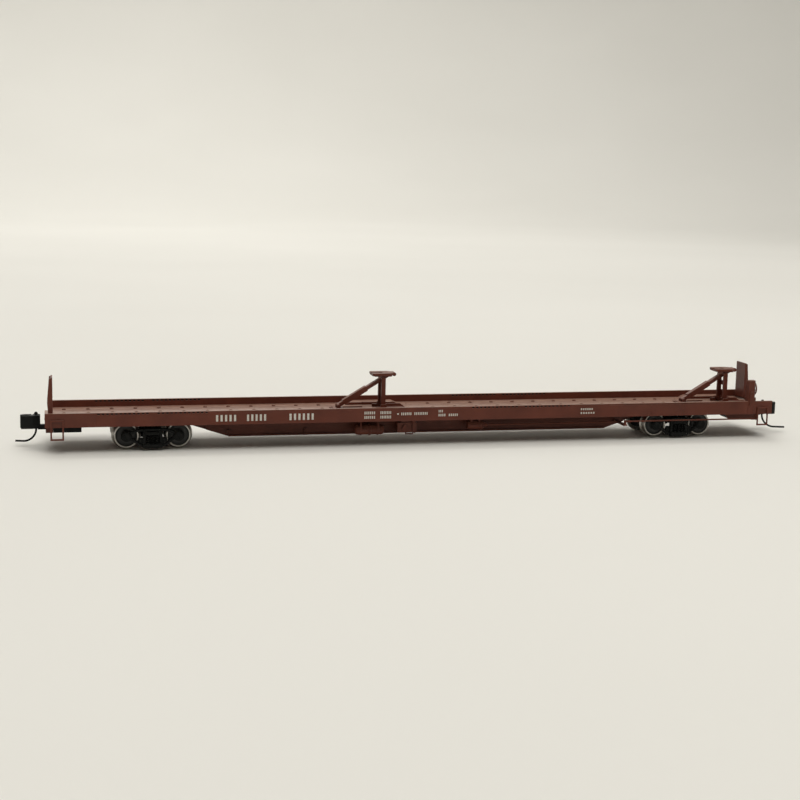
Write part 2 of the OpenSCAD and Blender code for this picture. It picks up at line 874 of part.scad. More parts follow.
deck();
underframe();
ballast_weight();
for (end = ["a", "b"]) {
    side = end == "a" ? -1 : 1;
    color(plastic_black) translate([side * truck_x, 0, 0]) truck_frame();
    color(plastic_black) translate([side * truck_x, 0, 0]) truck_pin();
    color(plastic_black) at_end(end) coupler_head();
    color(plastic_black) at_end(end) knuckle();
    color(plastic_black) at_end(end) trip_pin();
    color(plastic_black) at_end(end) pocket_lid();
    color(weight_steel) at_end(end) lid_screw();
    color("goldenrod") at_end(end) centring_leaf();
    color(car_red) at_end(end) bridge_plate();
    color(car_red) at_end(end) bridge_pin();
}
for (n = [1 : 4]) {
    color(plastic_black) axle_at(n) axle();
    color(wheel_metal) axle_at(n) both_sides() wheel();
}
for (where = ["mid", "end"]) {
    color(car_red) at_hitch(where) hitch_base();
    color(car_red) at_hitch(where) hitch_trunnions();
    color(car_red) at_hitch(where) hitch_post();
    color(car_red) at_hitch(where) hitch_head_pin();
    color(car_red) at_hitch(where) hitch_head();
    color(car_red) at_hitch(where) hitch_strut();
    color(car_red) at_hitch(where) hitch_foot_pin();
    color(car_red) at_hitch(where) hitch_shoe();
}
brake_stand();
brake_wheel();
brake_grab();
hand_brake_rod();
brake_lever_bracket();
pull_rod();
brake_cylinder();
air_reservoir();
control_valve();
color(car_red) sill_step();  // sill_step_bn
color(car_red) mirror([0, 1, 0]) sill_step();  // sill_step_bf
color(car_red) mirror([1, 0, 0]) sill_step();  // sill_step_an
color(car_red) rotate([0, 0, 180]) sill_step();  // sill_step_af
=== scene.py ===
# %% [markdown]
# # A piggyback flat car, finished round its design model
# The design model holds every part of the car at its true size. This lesson loads it as a fixed
# frame and gives it its looks: eased edges, turned wheels, coil springs, wire, paint and steel.

# %% Load the frame
import json
import math

import bmesh
import bpy
import numpy as np
from mathutils import Matrix, Vector


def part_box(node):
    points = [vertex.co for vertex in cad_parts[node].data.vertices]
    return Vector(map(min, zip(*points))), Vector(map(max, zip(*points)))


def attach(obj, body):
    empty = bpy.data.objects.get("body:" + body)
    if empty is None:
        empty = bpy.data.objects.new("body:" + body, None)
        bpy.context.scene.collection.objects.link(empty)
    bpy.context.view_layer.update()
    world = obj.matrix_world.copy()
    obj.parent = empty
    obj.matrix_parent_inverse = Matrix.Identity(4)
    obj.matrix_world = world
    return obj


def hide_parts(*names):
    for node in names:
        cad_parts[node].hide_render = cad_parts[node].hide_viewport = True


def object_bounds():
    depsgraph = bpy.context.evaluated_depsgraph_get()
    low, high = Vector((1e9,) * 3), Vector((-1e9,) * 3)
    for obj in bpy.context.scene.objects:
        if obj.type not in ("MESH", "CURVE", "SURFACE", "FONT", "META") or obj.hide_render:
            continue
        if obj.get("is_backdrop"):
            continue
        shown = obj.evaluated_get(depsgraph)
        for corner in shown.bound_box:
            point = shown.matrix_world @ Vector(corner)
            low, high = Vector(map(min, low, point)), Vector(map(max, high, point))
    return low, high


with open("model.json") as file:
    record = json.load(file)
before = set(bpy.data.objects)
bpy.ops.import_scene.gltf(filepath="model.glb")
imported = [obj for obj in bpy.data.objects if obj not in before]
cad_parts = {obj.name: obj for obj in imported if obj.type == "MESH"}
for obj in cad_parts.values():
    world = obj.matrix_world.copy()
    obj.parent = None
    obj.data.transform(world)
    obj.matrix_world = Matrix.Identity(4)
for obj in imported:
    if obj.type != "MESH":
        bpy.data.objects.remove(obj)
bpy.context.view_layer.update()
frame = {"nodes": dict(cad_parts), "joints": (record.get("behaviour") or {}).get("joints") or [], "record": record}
MM = 0.001

# %% [markdown]
# ## Shapes as arrays
# Every new shape here is a pair: an array of points in millimetres, and a list of faces that name
# those points. A shape could be modelled by hand with extrude and loop cuts. Working it out as an
# array keeps its sizes readable, and one change of a number remakes it.

# %% Where a part of the design is
def box_mm(node):
    """Lowest and highest corner of a design part, in millimetres."""
    low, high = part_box(node)
    return np.array(low) / MM, np.array(high) / MM


def middle_mm(node):
    """Half way between the two corners of a part's box."""
    return sum(box_mm(node)) / 2


# %% A grid of points as a skin
def skin(grid, ring=False):
    """Points indexed by row i and column j. Face (i, j) joins rows i and i+1 between columns j and
    j+1. The columns close round. The rows close round too if ring is true, and otherwise end in
    flat caps."""
    rows, columns = grid.shape[:2]
    i, j = np.meshgrid(np.arange(rows if ring else rows - 1), np.arange(columns), indexing="ij")
    i2, j2 = (i + 1) % rows, (j + 1) % columns
    quads = np.stack([i * columns + j, i * columns + j2, i2 * columns + j2, i2 * columns + j], -1)
    faces = quads.reshape(-1, 4).tolist()
    if not ring:
        faces.append(list(range(columns))[::-1])
        faces.append(list(range((rows - 1) * columns, rows * columns)))
    return grid.reshape(-1, 3), faces


def joined(*shapes):
    """Several shapes as one: the points follow each other, and the faces count on from there."""
    points, faces, count = [], [], 0
    for p, f in shapes:
        points.append(p)
        faces += [[k + count for k in face] for face in f]
        count += len(p)
    return np.concatenate(points), faces


def moved(shape, turn=None, to=(0, 0, 0)):
    """p' = turn p + to. A turn that mirrors would face the skin inward, so its faces are read
    backwards."""
    points, faces = shape
    turn = np.eye(3) if turn is None else np.array(turn, float)
    if np.linalg.det(turn) < 0:
        faces = [face[::-1] for face in faces]
    return points @ turn.T + np.array(to, float), faces


FLIP_Y = np.diag([1.0, -1, 1])
HALF_TURN = np.diag([-1.0, -1, 1])
AXIS_TO_Y = [[1, 0, 0], [0, 0, 1], [0, -1, 0]]  # +Z becomes +Y
AXIS_TO_X = [[0, 0, 1], [0, 1, 0], [-1, 0, 0]]  # +Z becomes +X
AXIS_TO_NEAR = [[1, 0, 0], [0, 0, -1], [0, 1, 0]]  # +Z becomes -Y, the near side


def both_sides(shape):
    """The shape and its mirror image on the car's other side."""
    return joined(shape, moved(shape, FLIP_Y))


# %% Three ways to make a solid
def lathe(profile, steps=48, ring=False):
    """A profile of (radius, height) turned about Z: x = r cos a, y = r sin a, z = h."""
    profile = np.array(profile, float)
    a = np.linspace(0, 2 * np.pi, steps, endpoint=False)
    r, h = profile[:, :1], profile[:, 1:]
    return skin(np.stack([r * np.cos(a), r * np.sin(a), h + 0 * a], -1), ring=ring)


ROUNDEST = 0.98  # of half a block's thinnest side, so that a flat is always left


def block(low, high, ease=0.06, steps=2):
    """A box with round edges. A ball of radius ease is cut into eight, and each eighth is pushed
    out to its own corner: p = centre + s (half - ease) + ease n, where n is the ball's normal and s
    the signs of its octant."""
    low, high = np.minimum(low, high).astype(float), np.maximum(low, high).astype(float)
    half = (high - low) / 2
    ease = min(ease, ROUNDEST * half.min())
    q = np.linspace(0, np.pi / 2, steps + 1)
    a = (np.arange(4)[:, None] * np.pi / 2 + q).ravel()
    b = np.concatenate([q - np.pi / 2, q])
    sa = np.repeat([[1, 1], [-1, 1], [-1, -1], [1, -1]], steps + 1, 0)
    sb = np.repeat([-1, 1], steps + 1)
    n = np.stack([np.outer(np.cos(b), np.cos(a)), np.outer(np.cos(b), np.sin(a)),
                  np.outer(np.sin(b), np.ones(len(a)))], -1)
    s = np.stack([np.tile(sa[:, 0], (len(b), 1)), np.tile(sa[:, 1], (len(b), 1)),
                  np.tile(sb[:, None], (1, len(a)))], -1)
    return skin((low + high) / 2 + s * (half - ease) + ease * n)


def rounded(corners, radius, steps=5):
    """A path with its corners rounded: each corner c becomes (1-t)^2 a + 2 t (1-t) c + t^2 b, where
    a and b lie radius away from it along its two legs."""
    corners = np.array(corners, float)
    t = np.linspace(0, 1, steps)[:, None]
    out = [corners[:1]]
    for before, c, after in zip(corners, corners[1:], corners[2:]):
        a = c + (before - c) * min(0.5, radius / np.linalg.norm(before - c))
        b = c + (after - c) * min(0.5, radius / np.linalg.norm(after - c))
        out.append((1 - t) ** 2 * a + 2 * t * (1 - t) * c + t ** 2 * b)
    return np.concatenate(out + [corners[-1:]])


def circle(radius, sides=10):
    """Points (r cos a, r sin a) round a circle."""
    a = np.linspace(0, 2 * np.pi, sides, endpoint=False)
    return radius * np.stack([np.cos(a), np.sin(a)], -1)


def oblong(width, height, ease):
    """A rectangle with its four corners cut off by ease, counterclockwise."""
    w, h = width / 2, height / 2
    return np.array([[w, -h + ease], [w, h - ease], [w - ease, h], [-w + ease, h],
                     [-w, h - ease], [-w, -h + ease], [-w + ease, -h], [w - ease, -h]])


def carried(path, section, side=(0, 1, 0)):
    """A section carried along a path: point = path + u across + v up, where across is side made
    square to the path, and up is square to both."""
    path, section = np.array(path, float), np.array(section, float)
    ahead = np.gradient(path, axis=0)
    ahead /= np.linalg.norm(ahead, axis=1, keepdims=True)
    across = np.array(side, float) - ahead * (ahead @ np.array(side, float))[:, None]
    across /= np.linalg.norm(across, axis=1, keepdims=True)
    up = np.cross(ahead, across)
    u, v = section[:, 0], section[:, 1]
    return skin(path[:, None] + u[None, :, None] * across[:, None] + v[None, :, None] * up[:, None])


print("solids: lathe, block and a section carried along a path")

# %% [markdown]
# ## Finishes
# A shop-painted model has a satin coat that is never quite even: the colour drifts, a fine orange
# peel breaks up the highlights, and paint rubs thin where edges meet the hand. Edges are painted
# lighter for that wear and also as painted highlights, and faces that look up are painted paler,
# part dust and part painted sheen. Each finish is a small group of nodes that reads the part's own
# coordinates, so the pattern stays on the part when it moves. An image could hold the same pattern,
# but it would need unwrapping and would blur close up.

# %% A finish made of nodes
MIX_A, MIX_B, MIX_RESULT = 6, 7, 2  # the colour sockets of a Mix node


class Finish:
    """One material and short ways to add and join its nodes."""

    def __init__(self, name):
        self.material = bpy.data.materials.new(name)
        self.material.use_nodes = True
        self.tree = self.material.node_tree
        self.shader = self.tree.nodes["Principled BSDF"]
        self.place = self.add("TexCoord").outputs["Object"]

    def add(self, kind, **settings):
        made = self.tree.nodes.new("ShaderNode" + kind)
        for key, value in settings.items():
            setattr(made, key, value)
        return made

    def feed(self, source, socket):
        self.tree.links.new(source, socket)

    def noise(self, per_mm, detail=3.0, stretch=(1, 1, 1)):
        """Cloudy noise with about per_mm lumps in each millimetre."""
        spread = self.add("Mapping")
        spread.inputs["Scale"].default_value = stretch
        self.feed(self.place, spread.inputs["Vector"])
        made = self.add("TexNoise")
        made.inputs["Scale"].default_value = per_mm / MM
        made.inputs["Detail"].default_value = detail
        self.feed(spread.outputs["Vector"], made.inputs["Vector"])
        return made.outputs["Fac"]

    def spread(self, source, low, high, from_low=0.3, from_high=0.7):
        """The source's values from from_low to from_high, spread from low to high."""
        made = self.add("MapRange")
        made.inputs["From Min"].default_value = from_low
        made.inputs["From Max"].default_value = from_high
        made.inputs["To Min"].default_value = low
        made.inputs["To Max"].default_value = high
        self.feed(source, made.inputs["Value"])
        return made.outputs["Result"]

    def mix(self, factor, a, b):
        """Colour a where the factor is 0, b where it is 1. Either may be a colour or a socket."""
        made = self.add("Mix", data_type="RGBA")
        self.feed(factor, made.inputs[0])
        for value, socket in ((a, made.inputs[MIX_A]), (b, made.inputs[MIX_B])):
            if isinstance(value, bpy.types.NodeSocket):
                self.feed(value, socket)
            else:
                socket.default_value = (*value, 1)
        return made.outputs[MIX_RESULT]

    def bump(self, height, depth_mm, strength=0.6):
        """Fine relief: the height's full swing stands for depth_mm."""
        made = self.add("Bump")
        made.inputs["Strength"].default_value = strength
        made.inputs["Distance"].default_value = depth_mm * MM
        self.feed(height, made.inputs["Height"])
        self.feed(made.outputs["Normal"], self.shader.inputs["Normal"])

    def upward(self, most, cloud):
        """Near most where the part's own normal points up and 0 where it is level or lower, broken
        by a cloud."""
        split = self.add("SeparateXYZ")
        self.feed(self.add("TexCoord").outputs["Normal"], split.inputs[0])
        amount = self.add("Math", operation="MULTIPLY")
        self.feed(self.spread(split.outputs["Z"], 0, 1, 0.15, 0.95), amount.inputs[0])
        self.feed(self.spread(cloud, most * 0.75, most * 1.2), amount.inputs[1])
        return amount.outputs[0]

    def edges(self, width_mm):
        """1 on edges and 0 on flats: the angle between the true normal and one that is softened."""
        soft = self.add("Bevel", samples=4)
        soft.inputs["Radius"].default_value = width_mm * MM
        true = self.add("NewGeometry")
        dot = self.add("VectorMath", operation="DOT_PRODUCT")
        self.feed(soft.outputs["Normal"], dot.inputs[0])
        self.feed(true.outputs["Normal"], dot.inputs[1])
        return self.spread(dot.outputs["Value"], 1, 0, 0.8, 0.99)


# %% Paint and moulded plastic
PAINT_SHINE = 0.26
PLASTIC_SHINE = 0.14
# edges painted lighter: part rubbed paint, part painted highlight
RUBBED_AND_HIGHLIT_EDGE_MM = 0.14
DRIFT_PER_MM, DUST_AND_SHEEN_PER_MM, RUB_AND_HIGHLIGHT_PER_MM, GLOSS_PER_MM, PEEL_PER_MM = 0.28, 0.9, 1.7, 2.6, 7
PEEL_DEPTH_MM = 0.006
# a pale colour for faces that look up: part dust, part painted sheen
DUST_AND_SHEEN = (0.43, 0.27, 0.20)


def painted(name, colour, rough=0.42, drift=0.16, wear_and_highlight=0.35, dust_and_sheen=0.0, shine=PAINT_SHINE):
    """Satin paint or moulded plastic. Its colour drifts by plus or minus drift over a few
    millimetres, edges are painted lighter, part rubbed paint and part painted highlight, and faces
    that look up are painted paler, part dust and part painted sheen."""
    f = Finish(name)
    colour = np.array(colour)
    cloud = f.spread(f.noise(DRIFT_PER_MM, 5), 0, 1)
    body = f.mix(cloud, colour * (1 - drift), colour * (1 + drift))
    # painted sheen and dust: faces that look up are painted paler
    if dust_and_sheen:
        body = f.mix(f.upward(dust_and_sheen, f.noise(DUST_AND_SHEEN_PER_MM, 5)), body, DUST_AND_SHEEN)
    # painted highlight and rubbed paint: edges are painted lighter
    rub_and_highlight = f.add("Math", operation="MULTIPLY")
    f.feed(f.edges(RUBBED_AND_HIGHLIT_EDGE_MM), rub_and_highlight.inputs[0])
    f.feed(f.spread(f.noise(RUB_AND_HIGHLIGHT_PER_MM, 4), 0, wear_and_highlight), rub_and_highlight.inputs[1])
    f.feed(f.mix(rub_and_highlight.outputs[0], body, colour * 1.5 + wear_and_highlight * 0.1), f.shader.inputs["Base Color"])
    f.feed(f.spread(f.noise(GLOSS_PER_MM, 4), rough - 0.06, rough + 0.08),
           f.shader.inputs["Roughness"])
    f.shader.inputs["Specular IOR Level"].default_value = shine
    f.bump(f.noise(PEEL_PER_MM, 2), PEEL_DEPTH_MM)
    return f.material


BOXCAR_RED = (0.112, 0.0285, 0.0160)
# the dust on these paints is partly painted sheen on the faces that look up
paint = {
    "painted_deck": painted("deck_paint", BOXCAR_RED, 0.34, dust_and_sheen=0.55),
    "painted_underframe": painted("underframe_paint", np.array(BOXCAR_RED) * 0.92, 0.48),
    "painted_hitch": painted("hitch_paint", np.array(BOXCAR_RED) * 1.08, 0.42, dust_and_sheen=0.2),
    "painted_bridge": painted("bridge_paint", np.array(BOXCAR_RED) * 1.06, 0.42),
    "painted_step": painted("step_paint", np.array(BOXCAR_RED) * 1.02, 0.44, dust_and_sheen=0.15),
    "painted_brake_gear": painted("brake_gear_paint", BOXCAR_RED, 0.46, dust_and_sheen=0.15),
    "black_plastic": painted("black_acetal", (0.008, 0.0085, 0.008), 0.52, 0.12, 0.05,
                             shine=PLASTIC_SHINE),
}
print(len(paint), "paints and plastics")


# %% Metals
def metal(name, colour, rough, grain=(1, 1, 1), grains_per_mm=6.0, dark=0.6):
    """Turned or drawn metal: noise stretched along the tool marks lightens, darkens and roughens
    it."""
    f = Finish(name)
    f.shader.inputs["Metallic"].default_value = 1.0
    marks = f.spread(f.noise(grains_per_mm, 3, grain), 0, 1)
    colour = np.array(colour)
    f.feed(f.mix(marks, colour * dark, colour), f.shader.inputs["Base Color"])
    f.feed(f.spread(f.noise(1.2, 3), rough - 0.06, rough + 0.1), f.shader.inputs["Roughness"])
    f.bump(marks, 0.004, 0.4)
    return f.material


paint["blackened_wire"] = metal("blackened_wire", (0.024, 0.023, 0.022), 0.55)
paint["weight_steel"] = metal("weight_steel", (0.42, 0.42, 0.41), 0.45, (0.05, 1, 1))
paint["screw_steel"] = metal("screw_steel", (0.45, 0.44, 0.42), 0.32)
paint["bronze_leaf"] = metal("bronze_leaf", (0.55, 0.34, 0.15), 0.3, (1, 0.05, 1))


# %% [markdown]
# A wheel is one turned casting with two finishes: the tread, flange and rim ring are bright, and
# the dished plate stays dark. Two materials would meet at a hard line between faces, so the shape
# carries an attribute, bright, from 0 to 1, and one finish mixes on it.

# %% The wheels' finish
def wheel_finish():
    """Bright nickel where the attribute bright is 1 and dark plating where it is 0, with fine
    turning marks."""
    f = Finish("turned_wheel")
    bright = f.add("Attribute", attribute_name="bright").outputs["Fac"]
    marks = f.noise(5, 3)
    shine = f.mix(f.spread(marks, 0, 1), (0.30, 0.285, 0.26), (0.56, 0.54, 0.50))
    dull = f.mix(f.spread(marks, 0, 1), (0.022, 0.023, 0.023), (0.05, 0.05, 0.048))
    f.feed(f.mix(bright, dull, shine), f.shader.inputs["Base Color"])
    f.feed(f.spread(bright, 0.25, 1, 0, 1), f.shader.inputs["Metallic"])
    f.feed(f.spread(bright, 0.5, 0.3, 0, 1), f.shader.inputs["Roughness"])
    f.bump(marks, 0.003, 0.4)
    return f.material


def stencil_finish():
    """White stencil paint, thin enough in places for the car's colour to show through."""
    f = Finish("stencil_white")
    thin = f.spread(f.noise(3.2, 4), 0, 0.55, 0.5, 0.75)
    f.feed(f.mix(thin, (0.62, 0.60, 0.54), (0.30, 0.22, 0.18)), f.shader.inputs["Base Color"])
    f.feed(f.spread(f.noise(2, 3), 0.45, 0.6), f.shader.inputs["Roughness"])
    f.bump(f.noise(8, 2), 0.004)
    return f.material


paint["wheel_metal"] = wheel_finish()
stencil_white = stencil_finish()
print(len(paint), "finishes for the part's slots, and stencil white")


# %% A piece from a shape
def piece(name, shape, body, slot, replaces=(), finish=None, smooth=40, values=None):
    """Puts a shape into a mesh in metres, welds its poles, paints it and lets it ride on its
    body."""
    points, faces = shape
    mesh = bpy.data.meshes.new(name)
    mesh.from_pydata((points * MM).tolist(), [], faces)
    if values is not None:
        store = mesh.attributes.new("bright", "FLOAT", "POINT")
        store.data.foreach_set("value", np.asarray(values, np.float32))
    weld(mesh)
    mesh.shade_smooth()
    mesh.set_sharp_from_angle(angle=math.radians(smooth))
    made = bpy.data.objects.new(name, mesh)
    bpy.context.scene.collection.objects.link(made)
    mesh.materials.append(finish or paint[slot])
    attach(made, body)
    if replaces:
        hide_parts(*replaces)
    print(f"{name}: {len(mesh.polygons)} faces on {body}")


def weld(mesh, distance=0.0005):
    """Points closer than distance, in millimetres, become one."""
    work = bmesh.new()
    work.from_mesh(mesh)
    bmesh.ops.remove_doubles(work, verts=work.verts, dist=distance * MM)
    bmesh.ops.dissolve_degenerate(work, edges=work.edges, dist=distance * MM / 2)
    work.to_mesh(mesh)
    work.free()


# %% [markdown]
# ## Eased edges for the moulded parts
# The car is injection-moulded plastic, and no moulded or painted edge is a knife edge. Every part
# could be modelled again with rounded edges, but the design's solids are exact already. So each is
# copied and welded, and a small bevel rounds its sharp edges. Flat faces are joined first, because
# a bevel runs badly over thin triangles. The deck's are not, because joining would close its stake
# slots. The design parts themselves stay as they are.

# %% Copies with eased edges
EASE = 0.05
DECK_EASE = 0.02
FLAT_ANGLE = math.radians(0.5)
SHARP_ANGLE = math.radians(35)


def eased(node, body, slot, width=EASE, flatten=True):
    """A welded copy of a design part. Faces that meet within FLAT_ANGLE are joined, unless flatten
    is false, and a bevel of width, in millimetres, rounds edges sharper than SHARP_ANGLE."""
    work = bmesh.new()
    work.from_mesh(frame["nodes"][node].data)
    bmesh.ops.remove_doubles(work, verts=work.verts, dist=0.0002 * MM)
    if flatten:
        bmesh.ops.dissolve_limit(work, angle_limit=FLAT_ANGLE, verts=work.verts, edges=work.edges)
    mesh = bpy.data.meshes.new(node + "_eased")
    work.to_mesh(mesh)
    work.free()
    mesh.shade_smooth()
    mesh.set_sharp_from_angle(angle=SHARP_ANGLE)
    mesh.materials.clear()
    mesh.materials.append(paint[slot])
    made = bpy.data.objects.new(node + "_eased", mesh)
    bpy.context.scene.collection.objects.link(made)
    bevel = made.modifiers.new("ease", "BEVEL")
    bevel.width = width * MM
    bevel.segments = 2
    bevel.limit_method = "ANGLE"
    bevel.angle_limit = SHARP_ANGLE
    bevel.use_clamp_overlap = True
    bevel.harden_normals = False
    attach(made, body)
    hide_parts(node)


body_of = {node: body for body, nodes in frame["record"]["behaviour"]["bodies"].items()
           for node in nodes}
SLOT_BY_START = {
    "deck": "painted_deck", "underframe": "painted_underframe", "hitch": "painted_hitch",
    "bridge": "painted_bridge", "sill_step": "painted_step", "brake": "painted_brake_gear",
    "hand_brake": "painted_brake_gear", "pull_rod": "painted_brake_gear",
    "air_res": "painted_brake_gear", "control": "painted_brake_gear", "wheels": "wheel_metal",
    "trip_pin": "blackened_wire", "ballast": "weight_steel", "lid_screw": "screw_steel",
    "centring": "bronze_leaf",
}


def slot_of(node):
    """The material slot of a design part, from how its name starts; the rest are black plastic."""
    return next((slot for start, slot in SLOT_BY_START.items() if node.startswith(start)),
                "black_plastic")


for node, cad in frame["nodes"].items():
    cad.data.materials.clear()
    cad.data.materials.append(paint[slot_of(node)])

EASED = [n for n in frame["nodes"] if n.startswith((
    "deck", "underframe", "hitch_base", "hitch_post", "hitch_head_mid", "hitch_head_end",
    "hitch_strut", "hitch_shoe", "bridge_plate", "brake_stand", "brake_lever", "control_valve",
    "sill_step", "coupler_head", "knuckle", "pocket_lid"))]
for node in EASED:
    if node == "deck":
        eased(node, body_of[node], slot_of(node), DECK_EASE, flatten=False)
    else:
        eased(node, body_of[node], slot_of(node))
print(len(EASED), "parts with eased edges")


# %% [markdown]
# ## Stake slots
# Rows of short slots run along the curbs of the real car, and shade makes them look nearly black.
# The design has the slots as cuts. Painting their back walls would need the deck's own faces to be
# picked out one by one, so a thin plate of a dark finish, painted shade, lies on each back wall
# instead.

# %% Painted shade in the stake slots
SLOT_FIRSTS = (-70.4, -58.2, 9.55, 21.6)
SLOT_PITCH = 0.9
SLOT_LENGTH = 0.52
SLOTS_IN_ROW = 12
SLOT_FOOT = 0.45  # below the curb's top
SLOT_HEAD = 0.13
PLATE_GAP = 0.02
OUTER_WALL = (0.2, 0.27)  # from the car's side, for slots in the curb's outer face
INNER_WALL = (0.43, 0.5)


def slot_shade_plates(y_low, y_high, z_low, z_high):
    """A thin dark plate of painted shade on the back wall of every slot in one face of the curb on
    the -Y side.
    """
    starts = [x for first in SLOT_FIRSTS for x in first + SLOT_PITCH * np.arange(SLOTS_IN_ROW)]
    return [block((x + PLATE_GAP, y_low, z_low), (x + SLOT_LENGTH - PLATE_GAP, y_high, z_high),
                  0.004, 1) for x in starts]


low, high = box_mm("deck")
foot, head = high[2] - SLOT_FOOT, high[2] - SLOT_HEAD
# painted shade: near-black plates stand for the shade inside the stake slots
slot_shade_finish = painted("slot_shade", (0.010, 0.006, 0.005), 0.7, 0.3, 0.0)
slot_shade = joined(*slot_shade_plates(low[1] + OUTER_WALL[0], low[1] + OUTER_WALL[1], foot, head),
               *slot_shade_plates(low[1] + INNER_WALL[0], low[1] + INNER_WALL[1], foot, head))
piece("slot_painted_shade", both_sides(slot_shade), "car_body", "painted_deck", finish=slot_shade_finish)


# %% [markdown]
# ## Tie-down sockets
# Chains are hooked into rows of sockets in the real deck. Each has a raised rim, cast with it,
# which catches the light. Holes could be cut in the deck instead, but at this size they would
# hardly show. A rim is a small ring turned on a lathe, set down at each socket: every 5 mm, in
# three rows, clear of the hitches.

# %% Rims of the deck's sockets
SOCKET_PITCH = 5.0
SOCKET_FIRST, SOCKET_END = -77.0, 78.0
SOCKET_ROW = 5.1
RIM_RADIUS = 0.42
RIM_HEIGHT = 0.24
SOCKET_RADIUS = 0.22
RIM_SUNK = 0.05
CLEAR_BEHIND, CLEAR_AHEAD = 1.2, 1.5
floor_z = box_mm("hitch_base_mid")[0][2]
hitch_boxes = [box_mm("hitch_base_mid"), box_mm("hitch_base_end")]
rim = lathe([(SOCKET_RADIUS, -RIM_SUNK), (RIM_RADIUS, -RIM_SUNK), (RIM_RADIUS, RIM_HEIGHT * 0.6),
             (RIM_RADIUS - 0.09, RIM_HEIGHT), (SOCKET_RADIUS + 0.05, RIM_HEIGHT),
             (SOCKET_RADIUS, RIM_HEIGHT * 0.7)], 16, ring=True)


def clear_of_hitches(x):
    """True where sockets at x lie clear of both hitches' bases."""
    return all(x < low[0] - CLEAR_BEHIND or x > high[0] + CLEAR_AHEAD for low, high in hitch_boxes)


sockets = [(x, y) for y in (-SOCKET_ROW, 0, SOCKET_ROW)
           for x in np.arange(SOCKET_FIRST, SOCKET_END, SOCKET_PITCH) if clear_of_hitches(x)]
piece("socket_rims", joined(*[moved(rim, to=(x, y, floor_z)) for x, y in sockets]), "car_body",
      "painted_deck")
print(len(sockets), "sockets")


# %% [markdown]
# ## Wheels
# A wheel set is two turned wheels on one axle. A wheel could be cut from stacked discs, but it is
# the plainest case of a surface of revolution. So its profile is written once, from the bore round
# the flange and the tread to the hub, and turned.

# %% Turned wheels
WHEEL_BACK = 3.78
WHEEL_FACE = 5.66
BORE = 0.62
WHEEL_STEPS = 72
FLANGE_DEPTH = 0.43


def wheel_shape(flange, tread):
    """The closed profile, as (radius, distance from the car's middle, bright), turned about the
    axle."""
    back, face = WHEEL_BACK, WHEEL_FACE
    profile = np.array([
        (BORE, back, 0), (1.15, back, 0), (1.28, back + 0.06, 0), (1.36, back + 0.28, 0),
        (2.04, back + 0.30, 0), (2.16, back + 0.24, 0), (2.28, back, 1), (flange - 0.22, back, 1),
        (flange - 0.07, back + 0.05, 1), (flange, back + 0.17, 1), (flange - 0.03, back + 0.31, 1),
        (flange - 0.2, back + 0.42, 1), (tread + 0.06, back + 0.53, 1), (tread, back + 0.66, 1),
        (tread - 0.05, face - 0.22, 1), (tread - 0.07, face - 0.07, 1), (tread - 0.12, face, 1),
        (tread - 0.3, face, 1), (tread - 0.37, face - 0.05, 1), (tread - 0.42, face - 0.3, 0),
        (2.05, face - 0.42, 0), (1.6, face - 0.5, 0), (1.2, face - 0.46, 0), (1.08, face - 0.34, 0),
        (1.02, face - 0.14, 0), (0.94, face - 0.08, 0), (BORE, face - 0.08, 0),
    ])
    turned = lathe(profile[:, :2], WHEEL_STEPS, ring=True)
    return moved(turned, AXIS_TO_Y), np.repeat(profile[:, 2], WHEEL_STEPS)


for n in (1, 2, 3, 4):
    low, high = box_mm(f"wheels_{n}")
    flange = (high[2] - low[2]) / 2
    (points, faces), bright = wheel_shape(flange, flange - FLANGE_DEPTH)
    centre = middle_mm(f"wheels_{n}")
    pair = both_sides((points, faces))
    piece(f"wheels_{n}_turned", moved(pair, to=(centre[0], 0, centre[2])), f"wheelset_{n}",
          "wheel_metal", [f"wheels_{n}"], values=np.tile(bright, 2))


# %% [markdown]
# ## Trucks
# Each truck is a cast side frame on either side of a bolster. In the model the frame is one
# moulding of black plastic with its coil springs in relief, which could be carved from one block.
# Here it is built as the real one is shaped, so that its parts shade each other: an arch bar and a
# bottom bar carried along their paths, two columns, springs wound as helixes, and roller-bearing
# caps turned on a lathe.

# %% Truck frames
FRAME_INNER = 6.0
FRAME_OUTER = 6.75
BAR_HEIGHT = 0.58
ARCH_TOP = 4.35
TIE_FOOT = 0.98
COLUMN_X = 1.75
GUSSET_X = 2.45


